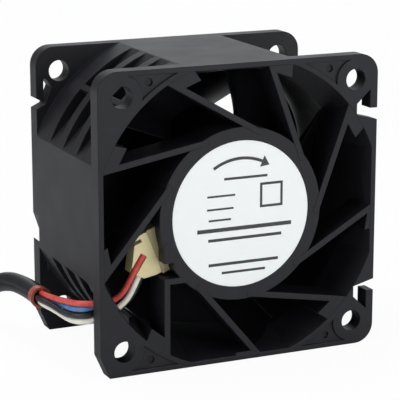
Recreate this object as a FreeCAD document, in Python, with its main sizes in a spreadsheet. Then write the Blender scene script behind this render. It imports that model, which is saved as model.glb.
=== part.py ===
import FreeCAD, Part
import math
import os
import Sketcher
from FreeCAD import Placement, Rotation, Vector

# A 60 x 60 x 38 mm axial cooling fan, standing on the lower edges of its two flanges.
# Each sub-part is drawn on the bench with the fan's axis along Z and the outlet face up,
# then stood up so that the outlet faces -Y, with the axis half a frame side above Z = 0.

SIZES = {
    # Frame: two square flanges on a round duct
    "frame_side": 60.0,
    "frame_depth": 38.0,
    "flange_thickness": 3.5,
    "corner_radius": 4.0,
    "key_cut_across": 1.9,
    "key_cut_up": 4.3,
    "screw_edge": 5.0,
    "screw_hole_d": 4.3,
    "duct_wall": 1.5,
    "corner_wall": 3.7,
    "groove_wall": 1.1,
    "rib_width": 2.8,
    "rear_band": 7.5,
    "front_band": 3.8,
    "web_thickness": 1.2,
    "outlet_flare": 2.5,
    "outlet_edge": 1.0,
    "outlet_depth": 9.0,
    "inlet_flare": 0.9,
    "face_rim": 1.0,
    "face_recess": 0.5,
    "boss_ring": 2.0,
    "boss_overlap": 0.8,
    "dimple_d": 1.5,
    "dimple_depth": 1.0,
    "dimple_across": 19.3,
    "dimple_inset": 2.5,
    "hook_lip": 1.6,
    "hook_mouth": 2.4,
    "hook_depth": 4.6,
    "hook_slant": 2.8,
    "hook_from_edge": 7.2,
    "pinch_from_edge": 11.6,
    "pinch_mouth": 2.3,
    "pinch_gap": 0.5,
    "pinch_top": 6.5,
    "pinch_slot": 1.7,
    "wide_from_edge": 19.5,
    "wide_mouth": 5.5,
    "wide_slant": 2.9,
    "wide_end": 12.8,
    "wide_slot": 1.8,
    "guide_d": 3.0,
    "guide_across": 4.7,
    "guide_up": 11.1,
    "guide_setback": 0.6,
    # Motor hub, moulded in one with the frame and its guide vanes
    "hub_d": 34.8,
    "hub_wall": 1.2,
    "face_setback": 0.2,
    "base_thickness": 1.8,
    "rim_depth": 6.1,
    "label_d": 29.4,
    "label_thickness": 0.15,
    "label_recess": 0.25,
    "vane_count": 9,
    "vane_thickness": 1.2,
    "vane_inset": 1.5,
    "vane_setback": 0.1,
    "vane_gap": 1.3,
    "vane_foot": 4.0,
    "vane_tooth": 2.7,
    "arm_drop": 12.6,
    "arm_start": 11.7,
    "arm_gap": 8.3,
    "arm_room": 1.5,
    # Rotor
    "rotor_step": 0.3,
    "rotor_gap": 0.7,
    "rotor_setback": 2.5,
    "impeller_wall": 1.4,
    "impeller_end": 1.5,
    "nose_radius": 2.0,
    "blade_count": 7,
    "blade_inset": 0.8,
    "blade_edge": 0.5,
    "blade_thickness": 1.3,
    "blade_camber": 2.2,
    "blade_wrap": 19.7,
    "blade_root": 12.0,
    "blade_spread": 2.3,
    "rotor_phase": 3.5,
    "tip_gap": 0.5,
    "yoke_wall": 1.0,
    "yoke_setback": 1.6,
    "magnet_wall": 1.6,
    "magnet_overhang": 1.0,
    "air_gap": 0.5,
    # Shaft and bearings
    "shaft_d": 3.0,
    "shaft_tail": 0.5,
    "clip_thickness": 0.4,
    "clip_groove": 0.3,
    "clip_width": 0.9,
    "clip_mouth": 1.9,
    "bush_wall": 2.1,
    "bush_length": 3.4,
    "spring_height": 1.0,
    "spring_width": 0.6,
    "bearing_od": 8.0,
    "bearing_width": 4.0,
    "bearing_recess": 1.0,
    "race_wall": 0.7,
    "race_groove": 0.12,
    "ball_play": 0.02,
    "ball_count": 7,
    "shield_thickness": 0.25,
    "tube_wall": 1.0,
    "tube_shoulder": 0.6,
    "tube_seat": 0.6,
    "tube_tail": 0.2,
    # Stator and circuit board
    "slide_fit": 0.05,
    "core_ring": 2.0,
    "pole_count": 4,
    "pole_neck": 4.0,
    "pole_shoe": 1.2,
    "pole_reach": 34.0,
    "front_room": 5.4,
    "rear_room": 5.5,
    "insulator_thickness": 1.0,
    "insulator_edge": 0.3,
    "coil_build": 1.7,
    "coil_gap": 0.4,
    "board_gap": 5.1,
    "board_thickness": 1.0,
    "board_edge": 0.3,
    "part_height": 1.5,
    "chip_side": 5.0,
    "sensor_side": 3.0,
    "capacitor_d": 4.0,
    "capacitor_height": 4.2,
    # Lead
    "lead_angle": 201.0,
    "header_length": 9.6,
    "header_height": 3.8,
    "header_depth": 4.4,
    "header_reach": 1.0,
    "header_room": 0.4,
    "pin_pitch": 2.0,
    "pin_side": 0.5,
    "pin_count": 4,
    "plug_length": 9.0,
    "plug_depth": 2.5,
    "plug_height": 3.4,
    "plug_reach": 4.9,
    "plug_aside": 2.94,
    "plug_tip": 3.0,
    "plug_turn": 44.0,
    "slot_start": 2.22,
    "slot_aside": 0.42,
    "slot_turn": 36.3,
    "slot_width": 1.5,
    "slot_depth": 0.9,
    "latch_aside": 3.4,
    "latch_gap": 0.7,
    "latch_depth": 0.9,
    "wire_d": 1.2,
    "window_low": 9.4,
    "window_high": 15.8,
    "window_depth": 4.2,
    "window_reach": 10.5,
    "sleeve_d": 4.0,
    "collar_length": 2.4,
    "collar_d": 4.4,
    "collar_wall": 0.35,
    "connector_width": 10.0,
    "connector_length": 12.5,
    "connector_height": 5.0,
    "socket_side": 1.2,
    "socket_depth": 6.0,
}

doc = FreeCAD.newDocument("cooling_fan")
sheet = doc.addObject("Spreadsheet::Sheet", "sizes")
for row, (alias, number) in enumerate(SIZES.items(), start=1):
    sheet.set(f"A{row}", alias)
    sheet.set(f"B{row}", str(number))
    sheet.setAlias(f"B{row}", alias)
doc.recompute()

# Radii, from the duct inwards
half_side = "(sizes.frame_side / 2)"
bore_r = f"({half_side} - sizes.duct_wall)"
shell_r = f"({bore_r} + sizes.corner_wall)"
outlet_r = f"({bore_r} + sizes.outlet_flare)"
screw_at = f"({half_side} - sizes.screw_edge)"
hub_r = "(sizes.hub_d / 2)"
rim_r = f"({hub_r} - sizes.hub_wall)"
rotor_r = f"({hub_r} - sizes.rotor_step)"
tip_r = f"({bore_r} - sizes.tip_gap)"
yoke_r = f"({rotor_r} - sizes.impeller_wall)"
magnet_r = f"({yoke_r} - sizes.yoke_wall)"
gap_r = f"({magnet_r} - sizes.magnet_wall)"
core_r = f"({gap_r} - sizes.air_gap)"
shaft_r = "(sizes.shaft_d / 2)"
bearing_r = "(sizes.bearing_od / 2)"
tube_r = f"({bearing_r} + sizes.tube_wall)"
stator_bore_r = f"({tube_r} + sizes.slide_fit)"
core_ring_r = f"({stator_bore_r} + sizes.core_ring)"
shoe_r = f"({core_r} - sizes.pole_shoe)"
inner_race_r = f"({shaft_r} + sizes.race_wall)"
outer_race_r = f"({bearing_r} - sizes.race_wall)"
ball_pitch_r = f"(({inner_race_r} + {outer_race_r}) / 2)"
groove_r = f"(({outer_race_r} - {inner_race_r}) / 2 + sizes.race_groove)"
ball_r = f"({groove_r} - sizes.ball_play)"

# Heights along the axis on the bench, from the outlet face down
outlet_face = "(sizes.frame_depth / 2)"
inlet_face = "(-sizes.frame_depth / 2)"
front_flange = f"({outlet_face} - sizes.flange_thickness)"
rear_flange = f"({inlet_face} + sizes.flange_thickness)"
hub_face = f"({outlet_face} - sizes.face_setback)"
label_seat = f"({hub_face} - sizes.label_recess)"
base_back = f"({hub_face} - sizes.base_thickness)"
rim_end = f"({base_back} - sizes.rim_depth)"
rotor_end = f"({rim_end} - sizes.rotor_gap)"
vane_front = f"({outlet_face} - sizes.vane_setback)"
vane_back = f"({rotor_end} + sizes.vane_gap)"
rotor_start = f"({inlet_face} + sizes.rotor_setback)"
blade_rear = f"({rotor_start} + sizes.blade_inset)"
blade_front = f"({rotor_end} - sizes.blade_inset)"
yoke_start = f"({rotor_start} + sizes.impeller_end)"
yoke_floor = f"({yoke_start} + sizes.yoke_wall)"
yoke_end = f"({rotor_end} - sizes.yoke_setback)"
bush_end = f"({yoke_floor} + sizes.bush_length)"
rear_bearing = f"({bush_end} + sizes.spring_height)"
front_bearing = f"({base_back} - sizes.bearing_recess - sizes.bearing_width)"
clip_seat = f"({front_bearing} + sizes.bearing_width)"
board_top = f"({base_back} - sizes.board_gap)"
board_bottom = f"({board_top} - sizes.board_thickness)"
core_top = f"({board_bottom} - sizes.front_room)"
core_bottom = f"({yoke_floor} + sizes.rear_room)"

sub_parts = []
CORNERS = ((1, 1), (-1, 1), (-1, -1), (1, -1))


def value(expression):
    """The present number of an expression on the sheet."""
    return float(sheet.evalExpression(expression))


def stand_up(piece, turn=0.0):
    """Stand a bench piece up on its flange edges, turned about the fan's axis first."""
    upright = Rotation(Vector(1, 0, 0), 90).multiply(Rotation(Vector(0, 0, 1), turn))
    piece.Placement = Placement(Vector(0, 0, 0), upright)
    piece.setExpression("Placement.Base.z", half_side)


def new_body(label):
    body = doc.addObject("PartDesign::Body", label)
    body.Label = label
    sub_parts.append(body)
    return body


def sketch_on(body, role, offset="0"):
    """A sketch on one of the body's own origin planes, moved along its normal."""
    sketch = body.newObject("Sketcher::SketchObject", "Sketch")
    plane = next(feature for feature in body.Origin.OriginFeatures if feature.Role == role)
    sketch.AttachmentSupport = [(plane, "")]
    sketch.MapMode = "FlatFace"
    sketch.setExpression("AttachmentOffset.Base.z", offset)
    return sketch


def hold(sketch, edge, end, across, up):
    """Hold a point of an edge at a place given by two expressions."""
    for kind, axis, text in (("DistanceX", -2, across), ("DistanceY", -1, up)):
        if text == "0":
            sketch.addConstraint(Sketcher.Constraint("PointOnObject", edge, end, axis))
        else:
            rule = Sketcher.Constraint(kind, -1, 1, edge, end, value(text))
            sketch.setExpression(f"Constraints[{sketch.addConstraint(rule)}]", text)


def set_radius(sketch, edge, text):
    rule = sketch.addConstraint(Sketcher.Constraint("Radius", edge, value(text)))
    sketch.setExpression(f"Constraints[{rule}]", text)


def bend(start, end, radius, left):
    """The short arc between two points, bending to the left or to the right."""
    middle = (start + end) / 2
    chord = end - start
    aside = Vector(-chord.y, chord.x, 0).normalize()
    rise = math.sqrt(max(radius**2 - (chord.Length / 2) ** 2, 0.0))
    centre = middle + aside * (rise if left else -rise)
    first, last = (start, end) if left else (end, start)
    angles = [math.atan2(p.y - centre.y, p.x - centre.x) for p in (first, last)]
    return Part.ArcOfCircle(Part.Circle(centre, Vector(0, 0, 1), radius), *angles)


def outline(sketch, corners):
    """A closed outline, counter-clockwise. A corner is (across, up), or (across, up, radius, left)
    where the edge to the next corner is an arc."""
    places = [Vector(value(c[0]), value(c[1]), 0) for c in corners]
    edges = []
    for k, corner in enumerate(corners):
        start, end = places[k], places[(k + 1) % len(corners)]
        if len(corner) == 2:
            edges.append((sketch.addGeometry(Part.LineSegment(start, end)), 1, 2))
            continue
        arc = bend(start, end, value(corner[2]), corner[3])
        edge = sketch.addGeometry(arc)
        edges.append((edge, 1, 2) if corner[3] else (edge, 2, 1))
    for k, (edge, first, last) in enumerate(edges):
        following, its_first, _ = edges[(k + 1) % len(edges)]
        sketch.addConstraint(Sketcher.Constraint("Coincident", edge, last, following, its_first))
        hold(sketch, edge, first, corners[k][0], corners[k][1])
        if len(corners[k]) > 2:
            set_radius(sketch, edge, corners[k][2])


def rectangle(sketch, left, low, right, high):
    outline(sketch, [(left, low), (right, low), (right, high), (left, high)])


def square(sketch, half):
    rectangle(sketch, f"-{half}", f"-{half}", half, half)


def circle(sketch, across, up, radius):
    ring = Part.Circle(Vector(value(across), value(up), 0), Vector(0, 0, 1), value(radius))
    edge = sketch.addGeometry(ring)
    hold(sketch, edge, 3, across, up)
    set_radius(sketch, edge, radius)


def extrude(body, kind, sketch, length, upwards=True):
    """A Pad, or a Pocket, of a sketch on the XY plane."""
    feature = body.newObject(f"PartDesign::{kind}", kind)
    feature.Profile = sketch
    feature.setExpression("Length", length)
    feature.Reversed = upwards if kind == "Pocket" else not upwards
    doc.recompute()
    return feature


def turn_profile(body, kind, corners):
    """A Revolution, or a Groove, of an outline of (radius, height) corners about the axis."""
    sketch = sketch_on(body, "XZ_Plane")
    outline(sketch, corners)
    feature = body.newObject(f"PartDesign::{kind}", kind)
    feature.Profile = sketch
    feature.ReferenceAxis = (sketch, ["V_Axis"])
    feature.Angle = 360
    doc.recompute()
    return feature


def pattern_round(body, features, count):
    pattern = body.newObject("PartDesign::PolarPattern", "PolarPattern")
    pattern.Originals = features
    axis = next(feature for feature in body.Origin.OriginFeatures if feature.Role == "Z_Axis")
    pattern.Axis = (axis, [""])
    pattern.Angle = 360
    pattern.setExpression("Occurrences", count)
    body.Tip = pattern
    doc.recompute()
    return pattern


def turned(label, corners):
    """A plain turned sub-part."""
    body = new_body(label)
    turn_profile(body, "Revolution", corners)
    stand_up(body)
    return body


def ring(label, inner, outer, low, high):
    return turned(label, [(inner, low), (outer, low), (outer, high), (inner, high)])


def along_lead(radial, aside):
    """Bench place given along the lead's direction and across it, as two expressions."""
    turn = "(sizes.lead_angle * 1 deg)"
    across = f"(({radial}) * cos({turn}) - ({aside}) * sin({turn}))"
    up = f"(({radial}) * sin({turn}) + ({aside}) * cos({turn}))"
    return across, up


# Frame

def flange_outline():
    """Three round corners, and the cut one beside the lead."""
    far = half_side
    near = f"({half_side} - sizes.corner_radius)"
    turn = "sizes.corner_radius"
    return [
        (f"-({half_side} - sizes.key_cut_across)", f"-{far}"),
        (near, f"-{far}", turn, True),
        (far, f"-{near}"),
        (far, near, turn, True),
        (near, far),
        (f"-{near}", far, turn, True),
        (f"-{far}", near),
        (f"-{far}", f"-({half_side} - sizes.key_cut_up)"),
    ]


def outlet_outline():
    """The outlet, a wide circle cut off by the frame's four sides."""
    flat = f"({half_side} - sizes.outlet_edge)"
    end = f"sqrt({outlet_r}^2 - {flat}^2)"
    return [
        (flat, f"-{end}"),
        (flat, end, outlet_r, True),
        (end, flat),
        (f"-{end}", flat, outlet_r, True),
        (f"-{flat}", end),
        (f"-{flat}", f"-{end}", outlet_r, True),
        (f"-{end}", f"-{flat}"),
        (end, f"-{flat}", outlet_r, True),
    ]


def make_duct(body):
    """A square block, necked to a round shell between its flanges and bored out."""
    block = sketch_on(body, "XY_Plane", inlet_face)
    square(block, half_side)
    extrude(body, "Pad", block, "sizes.frame_depth")
    neck = sketch_on(body, "XY_Plane", front_flange)
    square(neck, "sizes.frame_side")
    circle(neck, "0", "0", shell_r)
    extrude(body, "Pocket", neck, f"{front_flange} - {rear_flange}", upwards=False)
    bore = sketch_on(body, "XY_Plane", outlet_face)
    circle(bore, "0", "0", bore_r)
    extrude(body, "Pocket", bore, "sizes.frame_depth", upwards=False)
    outlet = sketch_on(body, "XY_Plane", outlet_face)
    outline(outlet, outlet_outline())
    flare = extrude(body, "Pocket", outlet, "sizes.outlet_depth", upwards=False)
    flare.setExpression("TaperAngle", "-atan(sizes.outlet_flare / sizes.outlet_depth)")
    bell_r = f"({bore_r} + sizes.inlet_flare)"
    bell_top = f"({inlet_face} + sizes.inlet_flare)"
    turn_profile(body, "Groove", [
        (f"({bore_r} - sizes.inlet_flare)", inlet_face),
        (bell_r, inlet_face, "sizes.inlet_flare", False),
        (bore_r, bell_top),
        (f"({bore_r} - sizes.inlet_flare)", bell_top),
    ])


def make_corner_grooves(body):
    """Pockets along the four corners of the shell, between ribs and on both sides of a web."""
    floor = f"(({bore_r} + sizes.groove_wall) * sqrt(2))"
    lowest = f"({rear_flange} + sizes.rear_band)"
    highest = f"({front_flange} - sizes.front_band)"
    width = f"(({highest} - {lowest} - 2 * sizes.rib_width) / 3)"
    grooves = []
    for k in range(3):
        top = f"({highest} - {k} * ({width} + sizes.rib_width))"
        corner = sketch_on(body, "XY_Plane", top)
        far = "sizes.frame_side"
        aside = "(sizes.web_thickness / sqrt(2))"
        wide, narrow = f"(({floor} + {aside}) / 2)", f"(({floor} - {aside}) / 2)"
        outline(corner, [(wide, narrow), (far, f"{floor} - {far}"), (far, f"{far} - {aside}")])
        outline(corner, [(narrow, wide), (f"{far} - {aside}", far), (f"{floor} - {far}", far)])
        grooves.append(extrude(body, "Pocket", corner, width, upwards=False))
    pattern_round(body, grooves, "4")


def make_vanes(body):
    """Straight guide vanes from the hub to the duct, each with a toothed foot at the wall."""
    reach = f"({outlet_r} + sizes.outlet_edge / 2)"
    inner = f"({hub_r} - sizes.vane_inset - sizes.vane_thickness / 2)"
    outer = f"({hub_r} - sizes.vane_inset + sizes.vane_thickness / 2)"
    tooth = f"({outer} + sizes.vane_tooth)"
    toe = f"({outer} + sizes.vane_foot)"
    root = f"(sqrt({hub_r}^2 - {outer}^2) - sizes.hub_wall)"
    end = f"sqrt({reach}^2 - {inner}^2)"
    vane = sketch_on(body, "XY_Plane", vane_back)
    outline(vane, [
        (f"-{outer}", f"-{root}"),
        (f"-{outer}", f"-sqrt({bore_r}^2 - {outer}^2)"),
        (f"-{tooth}", f"-sqrt({bore_r}^2 - {tooth}^2)"),
        (f"-{toe}", f"-sqrt({reach}^2 - {toe}^2)", reach, True),
        (f"-{inner}", f"-{end}"),
        (f"-{inner}", f"-{root}"),
    ])
    pad = extrude(body, "Pad", vane, f"{vane_front} - {vane_back}")
    pattern_round(body, [pad], "sizes.vane_count")


def make_hub(body):
    """The motor base: a round plate with a rim towards the rotor and a seat for the tube."""
    turn_profile(body, "Revolution", [
        ("0", rim_end),
        (hub_r, rim_end),
        (hub_r, hub_face),
        ("0", hub_face),
    ])
    label_r = "(sizes.label_d / 2 + sizes.slide_fit)"
    turn_profile(body, "Groove", [
        ("0", rim_end),
        (rim_r, rim_end),
        (rim_r, base_back),
        (tube_r, base_back),
        (tube_r, f"({base_back} + sizes.tube_seat)"),
        (bearing_r, f"({base_back} + sizes.tube_seat)"),
        (bearing_r, label_seat),
        (label_r, label_seat),
        (label_r, hub_face),
        ("0", hub_face),
    ])


def make_lead_passage(body):
    """Room for the lead: the vane in its way ends on a short arm, the rim has a notch for the
    header, and the duct wall has a window behind the outlet flange with a guide peg below it."""
    middle = f"({hub_r} - sizes.vane_inset)"
    arm_top = "(sizes.arm_drop - sizes.vane_thickness)"
    cut = sketch_on(body, "XY_Plane", vane_front)
    rectangle(cut, f"-({middle} + sizes.vane_thickness)", f"-{arm_top}",
              f"-({middle} - sizes.arm_room)", "-sizes.arm_gap")
    extrude(body, "Pocket", cut, f"{vane_front} - {vane_back}", upwards=False)
    arm = sketch_on(body, "XY_Plane", vane_back)
    rectangle(arm, f"-({middle} + sizes.vane_thickness / 2)", "-sizes.arm_drop",
              "-sizes.arm_start", f"-{arm_top}")
    extrude(body, "Pad", arm, f"{vane_front} - {vane_back}")
    half = "(sizes.header_length / 2 + sizes.header_room)"
    notch = sketch_on(body, "XY_Plane", rim_end)
    near, far = f"({rim_r} - sizes.hub_wall)", f"({hub_r} + sizes.header_reach)"
    outline(notch, [
        along_lead(near, f"-{half}"),
        along_lead(far, f"-{half}"),
        along_lead(far, half),
        along_lead(near, half),
    ])
    extrude(body, "Pocket", notch, f"{board_top} - {rim_end} + sizes.header_height + sizes.header_room")
    window = sketch_on(body, "XY_Plane", front_flange)
    rectangle(window, f"-{half_side}", f"(sizes.window_low - {half_side})",
              f"-({half_side} - sizes.window_reach)", f"(sizes.window_high - {half_side})")
    extrude(body, "Pocket", window, "sizes.window_depth", upwards=False)
    guide = sketch_on(body, "XY_Plane", front_flange)
    circle(guide, f"-({half_side} - sizes.guide_across)", f"-({half_side} - sizes.guide_up)",
           "(sizes.guide_d / 2)")
    extrude(body, "Pad", guide, "(sizes.flange_thickness - sizes.guide_setback)")


def hook_outline(side, up):
    """A wire hook: a slot with a thin lip, open to the flange's side edge."""
    lip = f"({half_side} - sizes.hook_lip)"
    deep = f"({half_side} - sizes.hook_depth)"
    tip = f"({half_side} - sizes.hook_from_edge)"
    mouth = f"({tip} - sizes.hook_depth + sizes.hook_lip / 2)"
    low = f"({mouth} - sizes.hook_mouth)"
    corners = [
        (half_side, low),
        (half_side, mouth),
        (lip, mouth),
        (lip, tip),
        (deep, f"({tip} - sizes.hook_slant)"),
        (deep, f"({low} + sizes.hook_mouth / 2)"),
    ]
    placed = [(f"{side} * {x}", f"{up} * {y}") for x, y in corners]
    return placed if side * up > 0 else placed[::-1]


def rear_hook_outline(side, up):
    """A wire hook of the inlet flange: pinched at its mouth above, and wide open below."""
    lip = f"({half_side} - sizes.hook_lip)"
    if up > 0:
        middle = f"({half_side} - sizes.pinch_from_edge)"
        top = f"({half_side} - sizes.pinch_top)"
        corners = [
            (half_side, f"({middle} - sizes.pinch_mouth / 2)"),
            (half_side, f"({middle} + sizes.pinch_mouth / 2)"),
            (lip, f"({middle} + sizes.pinch_gap / 2)"),
            (lip, top),
            (f"({lip} - sizes.pinch_slot / 3)", top),
            (f"({lip} - sizes.pinch_slot)", f"({top} - sizes.pinch_slot)"),
            (f"({lip} - sizes.pinch_gap / 2)", f"({middle} - sizes.pinch_gap / 2)"),
        ]
    else:
        end = f"({half_side} - sizes.wide_from_edge)"
        corners = [
            (half_side, f"({end} - sizes.wide_mouth)"),
            (half_side, end),
            (lip, f"({end} + sizes.wide_slant)"),
            (lip, f"({half_side} - sizes.wide_end)"),
            (f"({lip} - sizes.wide_slot)", f"({half_side} - sizes.wide_end - sizes.wide_slot)"),
        ]
    placed = [(f"{side} * {x}", f"{up} * {y}") for x, y in corners]
    return placed if side * up > 0 else placed[::-1]


def make_flange_details(body):
    """Screw holes, wire hooks, and the sunk corner faces of the outlet flange."""
    holes = sketch_on(body, "XY_Plane", outlet_face)
    for side, up in CORNERS:
        circle(holes, f"{side} * {screw_at}", f"{up} * {screw_at}", "(sizes.screw_hole_d / 2)")
    extrude(body, "Pocket", holes, "sizes.frame_depth", upwards=False)
    front_hooks = sketch_on(body, "XY_Plane", outlet_face)
    for up in (1, -1):
        outline(front_hooks, hook_outline(1, up))
    extrude(body, "Pocket", front_hooks, "sizes.flange_thickness", upwards=False)
    rear_hooks = sketch_on(body, "XY_Plane", inlet_face)
    for side, up in CORNERS:
        outline(rear_hooks, rear_hook_outline(side, up))
    extrude(body, "Pocket", rear_hooks, "sizes.flange_thickness")
    boss_r = "(sizes.screw_hole_d / 2 + sizes.boss_ring)"
    lip_r = f"({screw_at} * sqrt(2) - {boss_r} + sizes.boss_overlap)"
    edge = f"({half_side} - sizes.face_rim)"
    along = f"(({lip_r}^2 - {boss_r}^2 + 2 * {screw_at}^2) / (2 * sqrt(2) * {screw_at}))"
    aside = f"sqrt({lip_r}^2 - {along}^2)"
    meet_x, meet_y = f"(({along} - {aside}) / sqrt(2))", f"(({along} + {aside}) / sqrt(2))"
    boss_x = f"({screw_at} - sqrt({boss_r}^2 - ({edge} - {screw_at})^2))"
    lip_x = f"sqrt({lip_r}^2 - {edge}^2)"
    sunk = sketch_on(body, "XY_Plane", outlet_face)
    marks = sketch_on(body, "XY_Plane", outlet_face)
    for side, up in CORNERS:
        lip = (f"{side} * {lip_x}", f"{up} * {edge}")
        meet = (f"{side} * {meet_x}", f"{up} * {meet_y}")
        boss = (f"{side} * {boss_x}", f"{up} * {edge}")
        if side * up > 0:
            outline(sunk, [(*lip, lip_r, False), (*meet, boss_r, False), boss])
        else:
            outline(sunk, [(*meet, lip_r, False), lip, (*boss, boss_r, False)])
        circle(marks, f"{side} * sizes.dimple_across",
               f"{up} * ({half_side} - sizes.dimple_inset)", "(sizes.dimple_d / 2)")
    extrude(body, "Pocket", sunk, "sizes.face_recess", upwards=False)
    extrude(body, "Pocket", marks, "sizes.dimple_depth", upwards=False)


def make_frame():
    body = new_body("frame")
    make_duct(body)
    make_corner_grooves(body)
    make_vanes(body)
    make_hub(body)
    make_lead_passage(body)
    trim = sketch_on(body, "XY_Plane", outlet_face)
    square(trim, "sizes.frame_side")
    outline(trim, flange_outline())
    extrude(body, "Pocket", trim, "sizes.frame_depth", upwards=False)
    make_flange_details(body)
    stand_up(body)


# Impeller

def blade_section(body, distance):
    """One blade section on a plane square to the blade: two arcs joined by blunt edges.
    Its width grows faster than the distance from the axis, so the blade twists like a screw
    and spreads towards its tip."""
    span = f"({blade_front} - {blade_rear})"
    widening = f"(({distance} - sizes.blade_root) * sizes.blade_spread)"
    half = f"(sizes.blade_root * tan(sizes.blade_wrap * 1 deg) + {widening})"
    chord = f"sqrt({span}^2 + 4 * {half}^2)"
    edge_x = f"(sizes.blade_edge / 2 * {span} / {chord})"
    edge_z = f"(sizes.blade_edge * {half} / {chord})"
    swell = "((sizes.blade_thickness - sizes.blade_edge) / 2)"
    hollow = f"(sizes.blade_camber - {swell})"
    crown = f"(sizes.blade_camber + {swell})"
    pressure_r = f"(({chord}^2 / 4 + {hollow}^2) / (2 * {hollow}))"
    suction_r = f"(({chord}^2 / 4 + {crown}^2) / (2 * {crown}))"
    sketch = sketch_on(body, "XZ_Plane", f"-{distance}")
    outline(sketch, [
        (f"({half} + {edge_x})", f"({blade_rear} + {edge_z})", pressure_r, False),
        (f"(-{half} + {edge_x})", f"({blade_front} + {edge_z})"),
        (f"(-{half} - {edge_x})", f"({blade_front} - {edge_z})", suction_r, True),
        (f"({half} - {edge_x})", f"({blade_rear} - {edge_z})"),
    ])
    return sketch


def make_impeller():
    """A cup with seven twisted, cambered blades, moulded in one piece."""
    body = new_body("impeller")
    nose = "sizes.nose_radius"
    turn_profile(body, "Revolution", [
        ("0", rotor_start),
        (f"({rotor_r} - {nose})", rotor_start, nose, True),
        (rotor_r, f"({rotor_start} + {nose})"),
        (rotor_r, rotor_end),
        ("0", rotor_end),
    ])
    root = blade_section(body, "sizes.blade_root")
    middle = blade_section(body, f"((sizes.blade_root + {tip_r}) / 2)")
    tip = blade_section(body, f"({tip_r} + sizes.impeller_wall)")
    blade = body.newObject("PartDesign::AdditiveLoft", "Blade")
    blade.Profile = root
    blade.Sections = [middle, tip]
    doc.recompute()
    pattern_round(body, [blade], "sizes.blade_count")
    turn_profile(body, "Groove", [
        ("0", yoke_start),
        (yoke_r, yoke_start),
        (yoke_r, rotor_end),
        ("0", rotor_end),
    ])
    tips = sketch_on(body, "XY_Plane", outlet_face)
    circle(tips, "0", "0", f"(2 * {tip_r})")
    circle(tips, "0", "0", tip_r)
    trim = extrude(body, "Pocket", tips, "sizes.frame_depth", upwards=False)
    # Merging the split tip faces would leave an open solid, so they stay as they are
    trim.Refine = False
    stand_up(body, value("sizes.rotor_phase"))


# Rotor and bearings

def make_rotor():
    turned("rotor_yoke", [
        (shaft_r, yoke_start),
        (yoke_r, yoke_start),
        (yoke_r, yoke_end),
        (magnet_r, yoke_end),
        (magnet_r, yoke_floor),
        (shaft_r, yoke_floor),
    ])
    ring("magnet_ring", gap_r, magnet_r,
         f"({core_bottom} - sizes.magnet_overhang)", f"({core_top} + sizes.magnet_overhang)")
    ring("shaft_bush", shaft_r, f"({shaft_r} + sizes.bush_wall)", yoke_floor, bush_end)
    neck_r = f"({shaft_r} - sizes.clip_groove)"
    clip_end = f"({clip_seat} + sizes.clip_thickness)"
    turned("shaft", [
        ("0", yoke_start),
        (shaft_r, yoke_start),
        (shaft_r, clip_seat),
        (neck_r, clip_seat),
        (neck_r, clip_end),
        (shaft_r, clip_end),
        (shaft_r, f"({clip_end} + sizes.shaft_tail)"),
        ("0", f"({clip_end} + sizes.shaft_tail)"),
    ])
    ring("preload_spring", shaft_r, f"({shaft_r} + sizes.spring_width)", bush_end, rear_bearing)
    clip = new_body("retaining_clip")
    flat = sketch_on(clip, "XY_Plane", clip_seat)
    circle(flat, "0", "0", f"({neck_r} + sizes.clip_width)")
    circle(flat, "0", "0", neck_r)
    extrude(clip, "Pad", flat, "sizes.clip_thickness")
    mouth = sketch_on(clip, "XY_Plane", clip_seat)
    rectangle(mouth, "0", "(-sizes.clip_mouth / 2)", "sizes.shaft_d", "(sizes.clip_mouth / 2)")
    extrude(clip, "Pocket", mouth, "sizes.clip_thickness")
    stand_up(clip)


def make_bearing(name, low):
    """A small ball bearing: two grooved races and a ring of balls."""
    high = f"({low} + sizes.bearing_width)"
    middle = f"({low} + sizes.bearing_width / 2)"
    reach = f"sqrt({groove_r}^2 - ({groove_r} - sizes.race_groove)^2)"
    turned(f"{name}_inner_race", [
        (shaft_r, low),
        (inner_race_r, low),
        (inner_race_r, f"({middle} - {reach})", groove_r, False),
        (inner_race_r, f"({middle} + {reach})"),
        (inner_race_r, high),
        (shaft_r, high),
    ])
    turned(f"{name}_outer_race", [
        (outer_race_r, low),
        (bearing_r, low),
        (bearing_r, high),
        (outer_race_r, high),
        (outer_race_r, f"({middle} + {reach})", groove_r, False),
        (outer_race_r, f"({middle} - {reach})"),
    ])
    spheres = []
    for k in range(round(value("sizes.ball_count"))):
        sphere = doc.addObject("Part::Sphere", "Ball")
        turn = f"({k} * 360 deg / sizes.ball_count)"
        sphere.setExpression("Radius", ball_r)
        sphere.setExpression("Placement.Base.x", f"{ball_pitch_r} * cos({turn})")
        sphere.setExpression("Placement.Base.y", f"{ball_pitch_r} * sin({turn})")
        sphere.setExpression("Placement.Base.z", middle)
        spheres.append(sphere)
    balls = doc.addObject("Part::Compound", f"{name}_balls")
    balls.Label = f"{name}_balls"
    balls.Links = spheres
    sub_parts.append(balls)
    stand_up(balls)


def make_bearing_shields():
    """The four pressed shields that close the two bearings."""
    body = new_body("bearing_shields")
    gap = "sizes.slide_fit"
    for low in (rear_bearing, front_bearing):
        high = f"({low} + sizes.bearing_width - sizes.shield_thickness)"
        for at in (low, high):
            turn_profile(body, "Revolution", [
                (f"({inner_race_r} + {gap})", at),
                (outer_race_r, at),
                (outer_race_r, f"({at} + sizes.shield_thickness)"),
                (f"({inner_race_r} + {gap})", f"({at} + sizes.shield_thickness)"),
            ])
    stand_up(body)


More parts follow.
